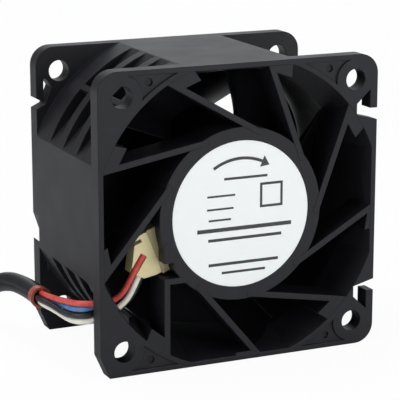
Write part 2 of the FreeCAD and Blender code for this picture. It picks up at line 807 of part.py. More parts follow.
def make_bearing_tube():
    """The tube on the motor base, with a shoulder between its two bearing seats."""
    step_r = f"({bearing_r} - sizes.tube_shoulder)"
    top = f"({base_back} + sizes.tube_seat)"
    rear_seat = f"({rear_bearing} + sizes.bearing_width)"
    turned("bearing_tube", [
        (bearing_r, f"({rear_bearing} - sizes.tube_tail)"),
        (tube_r, f"({rear_bearing} - sizes.tube_tail)"),
        (tube_r, top),
        (bearing_r, top),
        (bearing_r, front_bearing),
        (step_r, front_bearing),
        (step_r, rear_seat),
        (bearing_r, rear_seat),
    ])


# Stator

def pole_outline(neck, ring_out, shoe_in, shoe_out):
    """One T-shaped pole along +X."""
    half = f"({neck} / 2)"
    arc = "(sizes.pole_reach * 1 deg)"
    return [
        (f"({ring_out} - sizes.core_ring / 2)", f"-{half}"),
        (f"sqrt({shoe_in}^2 - {half}^2)", f"-{half}", shoe_in, False),
        (f"({shoe_in} * cos({arc}))", f"(-{shoe_in} * sin({arc}))"),
        (f"({shoe_out} * cos({arc}))", f"(-{shoe_out} * sin({arc}))", shoe_out, True),
        (f"({shoe_out} * cos({arc}))", f"({shoe_out} * sin({arc}))"),
        (f"({shoe_in} * cos({arc}))", f"({shoe_in} * sin({arc}))", shoe_in, False),
        (f"sqrt({shoe_in}^2 - {half}^2)", half),
        (f"({ring_out} - sizes.core_ring / 2)", half),
    ]


def poled_plate(label, low, height, neck, ring_out, shoe_out):
    """A ring with T-shaped poles: the core itself, or an insulator on one end of it."""
    body = new_body(label)
    hoop = sketch_on(body, "XY_Plane", low)
    circle(hoop, "0", "0", ring_out)
    circle(hoop, "0", "0", stator_bore_r)
    extrude(body, "Pad", hoop, height)
    arm = sketch_on(body, "XY_Plane", low)
    outline(arm, pole_outline(neck, ring_out, shoe_r, shoe_out))
    pole = extrude(body, "Pad", arm, height)
    pattern_round(body, [pole], "sizes.pole_count")
    stand_up(body)
    return body


def make_stator():
    wide = "(sizes.pole_neck + 2 * sizes.insulator_edge)"
    edge = f"({core_r} - sizes.insulator_edge)"
    poled_plate("stator_core", core_bottom, f"({core_top} - {core_bottom})",
                "sizes.pole_neck", core_ring_r, core_r)
    upper = poled_plate("upper_insulator", core_top, "sizes.insulator_thickness",
                        wide, core_ring_r, edge)
    collar = sketch_on(upper, "XY_Plane", core_top)
    circle(collar, "0", "0", f"({core_ring_r} - sizes.insulator_edge)")
    circle(collar, "0", "0", stator_bore_r)
    extrude(upper, "Pad", collar, "sizes.front_room")
    poled_plate("lower_insulator", f"({core_bottom} - sizes.insulator_thickness)",
                "sizes.insulator_thickness", wide, core_ring_r, edge)
    coils = new_body("coil_windings")
    low = f"({core_bottom} - sizes.insulator_thickness)"
    high = f"({core_top} + sizes.insulator_thickness)"
    half = f"({wide} / 2)"
    turn = sketch_on(coils, "YZ_Plane", f"({core_ring_r} + sizes.coil_gap)")
    rectangle(turn, f"-({half} + sizes.coil_build)", f"({low} - sizes.coil_build)",
              f"({half} + sizes.coil_build)", f"({high} + sizes.coil_build)")
    rectangle(turn, f"-{half}", low, half, high)
    shoe_at = f"({shoe_r} * cos(sizes.pole_reach * 1 deg))"
    coil = extrude(coils, "Pad", turn, f"({shoe_at} - {core_ring_r} - sizes.coil_gap)")
    pattern_round(coils, [coil], "sizes.pole_count")
    stand_up(coils)


# Circuit board

def make_board():
    body = new_body("circuit_board")
    disc = sketch_on(body, "XY_Plane", board_bottom)
    circle(disc, "0", "0", f"({rim_r} - sizes.board_edge)")
    circle(disc, "0", "0", stator_bore_r)
    extrude(body, "Pad", disc, "sizes.board_thickness")
    stand_up(body)
    middle = f"(({tube_r} + {rim_r}) / 2)"
    chip = new_body("driver_chip")
    case = sketch_on(chip, "XY_Plane", board_top)
    half = "(sizes.chip_side / 2)"
    rectangle(case, f"({middle} - {half})", f"-{half}", f"({middle} + {half})", half)
    extrude(chip, "Pad", case, "sizes.part_height")
    stand_up(chip)
    sensor = new_body("hall_sensor")
    case = sketch_on(sensor, "XY_Plane", board_bottom)
    half = "(sizes.sensor_side / 2)"
    at = f"(({gap_r} + {magnet_r}) / 2)"
    rectangle(case, f"-{half}", f"({at} - {half})", half, f"({at} + {half})")
    extrude(sensor, "Pad", case, "sizes.part_height", upwards=False)
    stand_up(sensor)
    cans = new_body("capacitors")
    spots = sketch_on(cans, "XY_Plane", board_top)
    for up in (1, -1):
        circle(spots, "0", f"{up} * {middle}", "(sizes.capacitor_d / 2)")
    extrude(cans, "Pad", spots, "sizes.capacitor_height")
    stand_up(cans)


def make_lead_plug():
    """The header on the board, its pins, and the slanted plug that the lead's wires leave from.
    One wire lies in a slot of the plug's face, and the plug's upper end is split into two latches."""
    face = f"({hub_r} + sizes.header_reach)"
    back = f"({face} - sizes.header_depth)"
    header = new_body("board_header")
    half = "(sizes.header_length / 2)"
    block = sketch_on(header, "XY_Plane", board_top)
    rectangle(block, back, f"-{half}", face, half)
    extrude(header, "Pad", block, "sizes.header_height")
    pins = new_body("header_pins")
    axis = f"({board_top} + sizes.header_height / 2)"
    pin_half = "(sizes.pin_side / 2)"
    stubs = sketch_on(pins, "YZ_Plane", back)
    holes = sketch_on(header, "YZ_Plane", back)
    plug = new_body("wire_plug")
    plug_half = "(sizes.plug_length / 2)"
    tip = f"({face} + sizes.plug_reach)"
    across = "(sizes.plug_tip / 2 * sin(sizes.plug_turn * 1 deg))"
    aside = "(sizes.plug_tip / 2 * cos(sizes.plug_turn * 1 deg))"
    housing = sketch_on(plug, "XY_Plane", f"({axis} - sizes.plug_height / 2)")
    outline(housing, [
        (face, f"-{plug_half}"),
        (f"({face} + sizes.plug_depth)", f"-{plug_half}"),
        (f"({tip} + {across})", f"(sizes.plug_aside - {aside})"),
        (f"({tip} - {across})", f"(sizes.plug_aside + {aside})"),
        (f"({face} + sizes.plug_depth / 2)", plug_half),
        (face, plug_half),
    ])
    extrude(plug, "Pad", housing, "sizes.plug_height")
    plug_top = f"({axis} + sizes.plug_height / 2)"
    lead_x, lead_y = "cos(sizes.slot_turn * 1 deg)", "sin(sizes.slot_turn * 1 deg)"
    slot = sketch_on(plug, "XY_Plane", plug_top)
    corners = []
    for along, side in (("0", "1"), ("sizes.plug_length", "1"), ("sizes.plug_length", "-1"), ("0", "-1")):
        off = f"({side} * sizes.slot_width / 2)"
        corners.append((f"({face} + sizes.slot_start + {along} * {lead_x} + {off} * {lead_y})",
                        f"(-sizes.slot_aside + {along} * {lead_y} - {off} * {lead_x})"))
    outline(slot, corners)
    extrude(plug, "Pocket", slot, "sizes.slot_depth", upwards=False)
    latch = sketch_on(plug, "XY_Plane", plug_top)
    rectangle(latch, f"({face} + sizes.plug_depth - sizes.latch_depth)",
              "-(sizes.latch_aside + sizes.latch_gap / 2)",
              f"({face} + sizes.plug_length)", "-(sizes.latch_aside - sizes.latch_gap / 2)")
    extrude(plug, "Pocket", latch, "sizes.plug_height", upwards=False)
    sockets = sketch_on(plug, "YZ_Plane", face)
    for k in range(SIZES["pin_count"]):
        at = f"(({k} - (sizes.pin_count - 1) / 2) * sizes.pin_pitch)"
        low, high = f"({axis} - {pin_half})", f"({axis} + {pin_half})"
        for sketch in (stubs, holes, sockets):
            rectangle(sketch, f"({at} - {pin_half})", low, f"({at} + {pin_half})", high)
    extrude(header, "Pocket", holes, "sizes.header_depth")
    extrude(pins, "Pad", stubs, "(sizes.header_depth + sizes.plug_depth / 2)")
    extrude(plug, "Pocket", sockets, "(sizes.plug_depth / 2)")
    for piece in (header, pins, plug):
        stand_up(piece, value("sizes.lead_angle"))


# Lead, laid in the standing frame: X to the right, Y to the rear, Z up

TURN_SHARE = 0.45


def rounded_path(points):
    """Straight runs joined by tangent arcs, each as large as its two runs allow."""
    edges, radii, start = [], [], points[0]
    for before, corner, after in zip(points, points[1:], points[2:]):
        inward, onward = (before - corner), (after - corner)
        reach = TURN_SHARE * min(inward.Length, onward.Length)
        inward, onward = inward.normalize(), onward.normalize()
        half = inward.getAngle(onward) / 2
        radius = reach * math.tan(half)
        towards = (inward + onward).normalize()
        middle = corner + towards * (radius / math.sin(half) - radius)
        first, last = corner + inward * reach, corner + onward * reach
        edges.append(Part.LineSegment(start, first).toShape())
        edges.append(Part.Arc(first, middle, last).toShape())
        radii.append(round(radius, 1))
        start = last
    edges.append(Part.LineSegment(start, points[-1]).toShape())
    return Part.Wire(edges), radii


def make_tube(label, points, diameter):
    """A round cord along a route of hand-chosen points."""
    points = [Vector(*point) for point in points]
    path, radii = rounded_path(points)
    section = Part.Circle(points[0], points[1] - points[0], diameter / 2).toShape()
    tube = doc.addObject("Part::Feature", label)
    tube.Label = label
    tube.Shape = path.makePipeShell([Part.Wire([section])], True, True)
    tube.Placement = Placement()
    print(f"{label}: length {path.Length:.1f} mm, radii {radii}")
    sub_parts.append(tube)


WIRE_ROUTES = {
    "wire_red": [(-19.4, -15.2, 23.0), (-21.1, -15.2, 20.35), (-22.75, -15.22, 17.3), (-23.9, -14.9, 15.4),
                 (-25.9, -14.6, 14.15), (-28.0, -14.6, 13.95), (-30.3, -14.5, 14.25), (-32.4, -12.9, 14.1),
                 (-33.3, -9.4, 13.7), (-34.3, -4.2, 12.95), (-35.15, 0.9, 12.25), (-35.25, 4.18, 12.2)],
    "wire_white": [(-20.11, -14.45, 18.63), (-21.04, -14.45, 16.64), (-22.6, -14.5, 14.1),
                   (-25.0, -14.6, 12.35), (-27.6, -14.3, 11.05), (-30.2, -13.8, 10.4),
                   (-32.2, -12.3, 10.25), (-32.8, -9.0, 9.9), (-33.3, -4.2, 10.4), (-33.85, 0.9, 10.85),
                   (-33.95, 4.18, 10.9)],
    "wire_black": [(-20.11, -13.15, 18.63), (-21.04, -13.15, 16.64), (-22.6, -13.1, 13.9),
                   (-25.0, -13.1, 12.2), (-27.6, -13.2, 12.15), (-30.2, -13.8, 11.8), (-32.3, -12.5, 11.5),
                   (-33.4, -9.2, 11.15), (-34.4, -4.2, 11.4), (-35.15, 0.9, 10.95), (-35.25, 4.18, 10.9)],
    "wire_blue": [(-21.29, -13.15, 19.18), (-22.14, -13.15, 17.36), (-23.7, -13.2, 15.1),
                  (-25.7, -13.2, 13.6), (-27.8, -13.3, 13.45), (-30.3, -13.9, 13.1), (-32.3, -12.5, 12.8),
                  (-33.1, -9.2, 12.4), (-33.2, -4.2, 12.1), (-33.85, 0.9, 12.2), (-33.95, 4.18, 12.2)],
}

SLEEVE_ROUTE = [(-34.6, 4.2, 11.55), (-34.6, 10.4, 11.55), (-36.3, 18.5, 11.2), (-39.2, 27.0, 7.2),
                (-47.5, 33.4, 3.2), (-59.0, 32.0, 2.1), (-66.5, 22.4, 2.1), (-65.2, 11.2, 2.1)]


def make_lead():
    for label, route in WIRE_ROUTES.items():
        make_tube(label, route, value("sizes.wire_d"))
    sleeve_d = value("sizes.sleeve_d")
    make_tube("lead_sleeve", SLEEVE_ROUTE, sleeve_d)
    first, second = (Vector(*point) for point in SLEEVE_ROUTE[:2])
    backwards = (first - second).normalize()
    flare = doc.addObject("Part::Cone", "CollarOutside")
    flare.setExpression("Radius1", "sizes.sleeve_d / 2")
    flare.setExpression("Radius2", "sizes.collar_d / 2")
    flare.setExpression("Height", "sizes.collar_length")
    throat = doc.addObject("Part::Cylinder", "CollarThroat")
    throat.setExpression("Radius", "sizes.sleeve_d / 2 - sizes.collar_wall")
    throat.setExpression("Height", "sizes.collar_length")
    collar = doc.addObject("Part::Cut", "sleeve_collar")
    collar.Label = "sleeve_collar"
    collar.Base = flare
    collar.Tool = throat
    collar.Placement = Placement(first, Rotation(Vector(0, 0, 1), backwards))
    sub_parts.append(collar)
    end, before = Vector(*SLEEVE_ROUTE[-1]), Vector(*SLEEVE_ROUTE[-2])
    connector = new_body("lead_connector")
    housing = sketch_on(connector, "XY_Plane")
    half = "(sizes.connector_width / 2)"
    low = f"(-{end.z})"
    rectangle(housing, f"-{half}", low, half, f"({low} + sizes.connector_height)")
    extrude(connector, "Pad", housing, "sizes.connector_length")
    mouths = sketch_on(connector, "XY_Plane", "sizes.connector_length")
    hole = "(sizes.socket_side / 2)"
    up = f"({low} + sizes.connector_height / 2)"
    for k in range(SIZES["pin_count"]):
        at = f"(({k} - (sizes.pin_count - 1) / 2) * sizes.pin_pitch)"
        rectangle(mouths, f"({at} - {hole})", f"({up} - {hole})",
                  f"({at} + {hole})", f"({up} + {hole})")
    extrude(connector, "Pocket", mouths, "sizes.socket_depth", upwards=False)
    heading = end - before
    level = Rotation(Vector(0, 0, 1), math.degrees(math.atan2(heading.x, -heading.y)))
    connector.Placement = Placement(end, level.multiply(Rotation(Vector(1, 0, 0), 90)))


make_frame()
make_impeller()
make_rotor()
make_bearing("rear_bearing", rear_bearing)
make_bearing("front_bearing", front_bearing)
make_bearing_shields()
make_bearing_tube()
make_stator()
make_board()
make_lead_plug()
label_top = f"({label_seat} + sizes.label_thickness)"
turned("hub_label", [
    ("0", label_seat),
    ("(sizes.label_d / 2)", label_seat),
    ("(sizes.label_d / 2)", label_top),
    ("0", label_top),
])
make_lead()
doc.recompute()

for item in doc.Objects:
    if "Invalid" in item.State or "Error" in item.State:
        raise RuntimeError(f"{item.Label} ({item.Name}) is {item.State}")
for piece in sub_parts:
    if piece.Shape.isNull() or not piece.Shape.isValid() or not piece.Shape.Solids:
        raise RuntimeError(f"{piece.Label} has no valid solid")
os.makedirs("parts", exist_ok=True)
for piece in sub_parts:
    piece.Shape.exportStep(f"parts/{piece.Label}.step")
    print(f"{piece.Label}: {len(piece.Shape.Solids)} solid, {piece.Shape.Volume:.1f} mm3")
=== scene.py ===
import bmesh
import bpy
import math
from mathutils import Matrix, Vector


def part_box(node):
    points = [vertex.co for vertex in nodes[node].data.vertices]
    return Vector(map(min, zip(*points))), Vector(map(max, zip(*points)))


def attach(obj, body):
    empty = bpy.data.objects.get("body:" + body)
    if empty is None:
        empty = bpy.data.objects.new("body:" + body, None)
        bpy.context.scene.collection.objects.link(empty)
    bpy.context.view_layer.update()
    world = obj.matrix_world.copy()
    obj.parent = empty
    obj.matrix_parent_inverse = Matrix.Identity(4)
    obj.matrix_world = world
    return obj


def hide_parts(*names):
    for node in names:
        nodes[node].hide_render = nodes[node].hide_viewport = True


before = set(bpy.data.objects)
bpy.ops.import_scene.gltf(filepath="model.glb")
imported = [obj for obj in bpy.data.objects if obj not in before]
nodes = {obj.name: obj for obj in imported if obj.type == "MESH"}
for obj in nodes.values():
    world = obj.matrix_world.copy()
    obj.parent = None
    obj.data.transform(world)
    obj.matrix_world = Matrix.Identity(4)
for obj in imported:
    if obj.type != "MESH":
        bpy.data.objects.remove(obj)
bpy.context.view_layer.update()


# The frame is one black moulding in glass-filled plastic: two square flanges on a round duct,
# straight guide vanes and the round base of the motor. Its faces have a fine moulded grain,
# and its edges are a little round and rubbed lighter by handling.

class Signal:
    """A socket of a material. Arithmetic on it adds Math nodes, and node() adds any other node."""

    def __init__(self, socket):
        self.socket = socket
        self.tree = socket.id_data

    def node(self, kind, settings=None, inputs=None, out=0):
        made = self.tree.nodes.new("ShaderNode" + kind)
        for name, setting in (settings or {}).items():
            setattr(made, name, setting)
        for name, given in (inputs or {}).items():
            if isinstance(given, Signal):
                self.tree.links.new(made.inputs[name], given.socket)
            else:
                made.inputs[name].default_value = given
        return Signal(made.outputs[out])

    def maths(self, operation, first, second):
        return self.node("Math", {"operation": operation}, {0: first, 1: second})

    def __add__(self, other):
        return self.maths("ADD", self, other)

    def __radd__(self, other):
        return self.maths("ADD", other, self)

    def __sub__(self, other):
        return self.maths("SUBTRACT", self, other)

    def __rsub__(self, other):
        return self.maths("SUBTRACT", other, self)

    def __mul__(self, other):
        return self.maths("MULTIPLY", self, other)

    def __rmul__(self, other):
        return self.maths("MULTIPLY", other, self)

    def ramp(self, low, high):
        """0 below low, 1 above high, and smooth between them."""
        return self.node("MapRange", {"interpolation_type": "SMOOTHSTEP"},
                         {"Value": self, "From Min": low, "From Max": high})

    def tint(self, first, second):
        """The first colour where this mask is 0, and the second where it is 1."""
        return self.node("Mix", {"data_type": "RGBA"}, {0: self, 6: first, 7: second}, 2)

    def into(self, shader, name):
        self.tree.links.new(shader.inputs[name], self.socket)


def start_finish(name):
    """A new material, its shader, and the coordinates that its pattern is laid on."""
    material = bpy.data.materials.new(name)
    material.use_nodes = True
    tree = material.node_tree
    shader = tree.nodes["Principled BSDF"]
    where = Signal(tree.nodes.new("ShaderNodeTexCoord").outputs["Object"])
    return material, shader, where


def noise(where, scale, detail=2.0):
    return where.node("TexNoise", {}, {"Vector": where, "Scale": scale, "Detail": detail}, "Fac")


CLOUD_SCALE, DUST_SCALE = 130.0, 420.0
GRAIN_DEPTH = 0.00006


def moulded_plastic(name, colour, rubbed, roughness, grain=2600.0, edge=0.0003, gloss=0.5):
    """Moulded plastic: a fine grain, a faint cloudiness, and round edges rubbed lighter."""
    material, shader, where = start_finish(name)
    shader.inputs["Specular IOR Level"].default_value = gloss
    cloud = noise(where, CLOUD_SCALE, 4.0)
    fine = noise(where, grain)
    rounded = where.node("Bevel", {"samples": 6}, {"Radius": edge})
    flat = where.node("NewGeometry", out="Normal")
    turn = rounded.node("VectorMath", {"operation": "DOT_PRODUCT"}, {0: rounded, 1: flat}, "Value")
    wear = (1 - turn).ramp(0.01, 0.25) * cloud.ramp(0.3, 0.62)
    dust = noise(where, DUST_SCALE, 6.0).ramp(0.5, 0.8)
    body = (0.35 * cloud + 0.25 * dust).tint((*colour, 1), (*rubbed, 1))
    wear.tint(body, (*rubbed, 1)).into(shader, "Base Color")
    (roughness + 0.16 * cloud - 0.1 * wear + 0.06 * fine).into(shader, "Roughness")
    where.node("Bump", {}, {"Strength": 0.22, "Distance": GRAIN_DEPTH, "Height": fine,
                            "Normal": rounded}).into(shader, "Normal")
    return material


def dress(material, *names):
    """Give CAD nodes their material."""
    for name in names:
        slots = nodes[name].data.materials
        slots.clear()
        slots.append(material)


dress(moulded_plastic("frame_plastic", (0.0045, 0.0044, 0.0068), (0.02, 0.0195, 0.027), 0.42, gloss=0.32),
      "frame")


# The label is a round printed film stuck into the shallow recess of the motor base. It is
# plain white, with an arrow for the rotor's direction, ruled lines and an empty box.

LABEL_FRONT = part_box("hub_label")[0].y
HUB_HEIGHT = (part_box("frame")[0].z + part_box("frame")[1].z) / 2

label_film, shader, where = start_finish("label_film")
speck = noise(where, 5200.0, 3.0)
(noise(where, 60.0, 2.0) * 0.5 + speck.ramp(0.55, 0.75) * 0.12).tint(
    (0.97, 0.985, 0.97, 1), (0.94, 0.96, 0.94, 1)).into(shader, "Base Color")
(0.3 + 0.12 * speck).into(shader, "Roughness")
where.node("Bump", {}, {"Strength": 0.08, "Distance": 0.00004, "Height": speck}).into(shader, "Normal")
dress(label_film, "hub_label")


def new_piece(name, mesh, material, body):
    """A finished mesh as an object that rides on a body."""
    data = bpy.data.meshes.new(name)
    mesh.to_mesh(data)
    mesh.free()
    data.materials.append(material)
    piece = bpy.data.objects.new(name, data)
    bpy.context.scene.collection.objects.link(piece)
    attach(piece, body)
    return piece


def printed_arc(mesh, radius, width, start, sweep, steps):
    """A flat strip on the label, swept about the fan's axis from an angle in degrees."""
    turn = Matrix.Rotation(math.radians(-start), 4, "Y")
    across = [mesh.verts.new(turn @ Vector((r, 0, 0))) for r in (radius - width / 2, radius + width / 2)]
    edge = mesh.edges.new(across)
    bmesh.ops.spin(mesh, geom=[*across, edge], cent=(0, 0, 0), axis=(0, 1, 0), dvec=(0, 0, 0),
                   angle=-math.radians(sweep), steps=steps)


def printed_bar(mesh, across, up, length, height):
    """A flat bar on the label, given by its middle."""
    ends = [(-length, -height), (length, -height), (length, height), (-length, height)]
    mesh.faces.new([mesh.verts.new((across + x / 2, 0, up + z / 2)) for x, z in ends])


ARROW_RADIUS, ARROW_WIDTH = 0.0112, 0.0006
ARROW_START, ARROW_SWEEP, ARROW_HEAD = 122, -56, 9
ARROW_STEPS = 40
# Across, up, length and height of each line
RULED_LINES = [(0.001, 0.0073, 0.0094, 0.0005), (-0.0043, 0.004, 0.006, 0.0004),
               (-0.0045, 0.0014, 0.0057, 0.0004), (-0.0046, -0.0008, 0.0048, 0.0004),
               (0.0008, -0.0028, 0.0205, 0.0008), (0.0009, -0.0048, 0.016, 0.0006),
               (0.0006, -0.0098, 0.0152, 0.0006), (0.0006, -0.0116, 0.0095, 0.0005)]
BOX_MIDDLE, BOX_SIDE, BOX_LINE = (0.0066, 0.0034), 0.0045, 0.0005
PRINT_THICKNESS, PRINT_GAP = 0.00003, 0.00001

mesh = bmesh.new()
printed_arc(mesh, ARROW_RADIUS, ARROW_WIDTH, ARROW_START, ARROW_SWEEP, ARROW_STEPS)
neck = math.radians(ARROW_START + ARROW_SWEEP)
tip = math.radians(ARROW_START + ARROW_SWEEP - ARROW_HEAD)
barb = 2 * ARROW_WIDTH
corners = [(ARROW_RADIUS - barb, neck), (ARROW_RADIUS + barb, neck), (ARROW_RADIUS, tip)]
mesh.faces.new([mesh.verts.new((r * math.cos(a), 0, r * math.sin(a))) for r, a in corners])
for across, up, length, height in RULED_LINES:
    printed_bar(mesh, across, up, length, height)
for end in (-BOX_SIDE / 2, BOX_SIDE / 2):
    printed_bar(mesh, BOX_MIDDLE[0], BOX_MIDDLE[1] + end, BOX_SIDE - BOX_LINE, BOX_LINE)
    printed_bar(mesh, BOX_MIDDLE[0] + end, BOX_MIDDLE[1], BOX_LINE, BOX_SIDE + BOX_LINE)
bmesh.ops.remove_doubles(mesh, verts=mesh.verts, dist=1e-7)
bmesh.ops.recalc_face_normals(mesh, faces=mesh.faces)
bmesh.ops.solidify(mesh, geom=mesh.faces[:], thickness=PRINT_THICKNESS)
bmesh.ops.recalc_face_normals(mesh, faces=mesh.faces)
top = min(v.co.y for v in mesh.verts)
lift = LABEL_FRONT - PRINT_GAP - PRINT_THICKNESS - top
bmesh.ops.translate(mesh, verts=mesh.verts, vec=(0, lift, HUB_HEIGHT))

print_ink, shader, where = start_finish("print_ink")
patchy = noise(where, 3000.0, 3.0).ramp(0.35, 0.7)
patchy.tint((0.02, 0.02, 0.022, 1), (0.05, 0.05, 0.052, 1)).into(shader, "Base Color")
(0.38 + 0.2 * noise(where, 900.0)).into(shader, "Roughness")
new_piece("label_print", mesh, print_ink, "stator")


# The impeller is one moulding too, a cup with twisted blades. Its faces are a little smoother
# than the frame's, but its plastic is duller.

dress(moulded_plastic("impeller_plastic", (0.004, 0.004, 0.0055), (0.016, 0.016, 0.02), 0.36, gloss=0.18),
      "impeller")


# The rotor's steel cup, its ring magnet, and the shaft in its brass bush are pressed into the
# impeller. The bearings and the clip are plain steel.

def turned_metal(name, colour, shade, roughness):
    """Turned or pressed metal: fine tool lines round the fan's axis, and faint stains."""
    material, shader, where = start_finish(name)
    shader.inputs["Metallic"].default_value = 1.0
    lines = where.node("Mapping", {}, {"Vector": where, "Scale": (0.25, 4.0, 0.25)})
    tool = noise(lines, 2400.0, 3.0)
    stain = noise(where, 300.0, 4.0)
    (0.6 * stain + 0.2 * tool).tint((*colour, 1), (*shade, 1)).into(shader, "Base Color")
    (roughness + 0.15 * stain + 0.08 * tool).into(shader, "Roughness")
    where.node("Bump", {}, {"Strength": 0.12, "Distance": 0.00004, "Height": tool}).into(shader, "Normal")
    return material


dress(turned_metal("plated_steel", (0.62, 0.62, 0.61), (0.45, 0.44, 0.42), 0.3),
      "rotor_yoke", "preload_spring", "retaining_clip", "bearing_shields")
dress(turned_metal("bearing_steel", (0.72, 0.72, 0.73), (0.58, 0.58, 0.6), 0.14),
      "shaft", "rear_bearing_inner_race", "rear_bearing_outer_race", "rear_bearing_balls",
      "front_bearing_inner_race", "front_bearing_outer_race", "front_bearing_balls")
dress(turned_metal("brass", (0.78, 0.58, 0.26), (0.6, 0.42, 0.17), 0.24), "shaft_bush", "bearing_tube")
dress(moulded_plastic("magnet", (0.06, 0.055, 0.052), (0.11, 0.105, 0.1), 0.55, grain=4200.0), "magnet_ring")


# The stator is a stack of steel sheets between two insulators, with a coil of enamelled
# copper wire round each of its poles.

dress(turned_metal("core_steel", (0.38, 0.38, 0.4), (0.26, 0.25, 0.25), 0.36), "stator_core")
dress(moulded_plastic("insulator_plastic", (0.8, 0.77, 0.66), (0.86, 0.84, 0.76), 0.42),
      "upper_insulator", "lower_insulator")

COIL_PITCH = 0.0003

copper, shader, where = start_finish("copper")
shader.inputs["Metallic"].default_value = 1.0
centred = where.node("Mapping", {}, {"Vector": where, "Location": (0, 0, -HUB_HEIGHT)})
parted = centred.node("SeparateXYZ", {}, {"Vector": centred})
across = parted.node("Math", {"operation": "ABSOLUTE"}, {0: parted})
upright = parted.node("SeparateXYZ", {}, {"Vector": centred}, "Z")
upright = upright.node("Math", {"operation": "ABSOLUTE"}, {0: upright})
outwards = across.node("Math", {"operation": "MAXIMUM"}, {0: across, 1: upright})
strand = outwards.node("Math", {"operation": "SINE"}, {0: outwards * (2 * math.pi / COIL_PITCH)})
# Painted shade: the copper is coloured darker in the grooves between the turns, where the bump sinks, and
# full copper on their crowns.
(0.5 + 0.5 * strand).tint((0.3, 0.1, 0.035, 1), (0.76, 0.36, 0.15, 1)).into(shader, "Base Color")
(0.26 + 0.2 * noise(where, 500.0)).into(shader, "Roughness")
where.node("Bump", {}, {"Strength": 0.6, "Distance": 0.0001, "Height": strand}).into(shader, "Normal")
dress(copper, "coil_windings")


# The circuit board is a green lacquered disc behind the stator, with the driver chip, the
# sensor that reads the magnet, and two small capacitors.

board, shader, where = start_finish("board")
traces = where.node("TexVoronoi", {"feature": "DISTANCE_TO_EDGE"}, {"Vector": where, "Scale": 340.0})
track = 1 - traces.ramp(0.05, 0.09)
lacquer = 0.6 * track + 0.2 * noise(where, 700.0)
lacquer.tint((0.02, 0.14, 0.06, 1), (0.06, 0.3, 0.13, 1)).into(shader, "Base Color")
(0.3 + 0.15 * noise(where, 900.0)).into(shader, "Roughness")
where.node("Bump", {}, {"Strength": 0.3, "Distance": 0.00004, "Height": track}).into(shader, "Normal")
dress(board, "circuit_board")
dress(moulded_plastic("chip_plastic", (0.02, 0.02, 0.02), (0.06, 0.06, 0.06), 0.5, grain=5000.0),
      "driver_chip", "hall_sensor")
dress(turned_metal("capacitor_can", (0.75, 0.75, 0.77), (0.6, 0.6, 0.62), 0.25), "capacitors")


# The lead starts at a cream header on the board, whose pins hold the paler plug of the four
# wires. Both are small nylon mouldings.

dress(moulded_plastic("header_plastic", (0.42, 0.35, 0.19), (0.52, 0.45, 0.28), 0.36, edge=0.0002),
      "board_header")
dress(moulded_plastic("plug_plastic", (0.78, 0.67, 0.35), (0.85, 0.76, 0.48), 0.34, edge=0.0002),
      "wire_plug")
dress(turned_metal("plated_pins", (0.74, 0.74, 0.72), (0.62, 0.61, 0.58), 0.2), "header_pins")


# The four wires run from the plug through the window of the duct into the sleeve. Each is
# stranded copper in a thin soft vinyl coat.

MILLIMETRE = 0.001
WIRE_DIAMETER = 0.0012
WIRE_ROUTES = {
    "wire_red": [(-19.4, -15.2, 23.0), (-21.1, -15.2, 20.35), (-22.75, -15.22, 17.3), (-23.9, -14.9, 15.4),
                 (-25.9, -14.6, 14.15), (-28.0, -14.6, 13.95), (-30.3, -14.5, 14.25), (-32.4, -12.9, 14.1),
                 (-33.3, -9.4, 13.7), (-34.0, -4.2, 13.0), (-34.44, 0.9, 12.46), (-34.44, 4.18, 12.46)],
    "wire_white": [(-20.11, -14.45, 18.63), (-21.04, -14.45, 16.64), (-22.6, -14.5, 14.1),
                   (-25.0, -14.6, 12.35), (-27.6, -14.3, 11.05), (-30.2, -13.8, 10.4),
                   (-32.2, -12.3, 10.25), (-32.8, -9.0, 9.9), (-33.75, -4.2, 10.5), (-34.76, 0.9, 10.64),
                   (-34.76, 4.18, 10.64)],
    "wire_black": [(-18.79, -13.15, 18.37), (-19.85, -13.15, 16.1), (-21.6, -13.1, 13.4),
                   (-24.5, -13.1, 11.9), (-27.6, -13.2, 12.1), (-30.2, -13.8, 11.8), (-32.3, -12.5, 11.5),
                   (-33.6, -9.2, 11.1), (-34.6, -4.2, 11.75), (-35.51, 0.9, 11.71), (-35.51, 4.18, 11.71)],
    "wire_blue": [(-20.74, -13.15, 18.93), (-21.6, -13.15, 17.0), (-23.0, -13.2, 14.9),
                  (-25.2, -13.2, 13.7), (-27.6, -13.3, 13.5), (-30.3, -13.9, 13.1), (-32.3, -12.5, 12.8),
                  (-32.95, -9.2, 12.45), (-33.0, -4.2, 11.75), (-33.69, 0.9, 11.39), (-33.69, 4.18, 11.39)],
}
WIRE_COATS = {
    "wire_red": ("red_insulation", (0.55, 0.045, 0.04), (0.66, 0.1, 0.08)),
    "wire_white": ("cream_insulation", (0.84, 0.8, 0.68), (0.9, 0.87, 0.79)),
    "wire_black": ("black_insulation", (0.006, 0.006, 0.008), (0.02, 0.02, 0.024)),
    "wire_blue": ("blue_insulation", (0.06, 0.17, 0.4), (0.12, 0.27, 0.52)),
}


def soft_coat(name, colour, pale, roughness, gloss=0.5):
    """Soft vinyl or rubber: smooth, a little cloudy, with a slight sheen."""
    material, shader, where = start_finish(name)
    shader.inputs["Specular IOR Level"].default_value = gloss
    cloud = noise(where, 700.0, 4.0)
    ripple = noise(where, 1600.0, 2.0)
    cloud.ramp(0.3, 0.75).tint((*colour, 1), (*pale, 1)).into(shader, "Base Color")
    (roughness + 0.18 * ripple).into(shader, "Roughness")
    where.node("Bump", {}, {"Strength": 0.12, "Distance": 0.00008, "Height": ripple}).into(shader, "Normal")
    return material


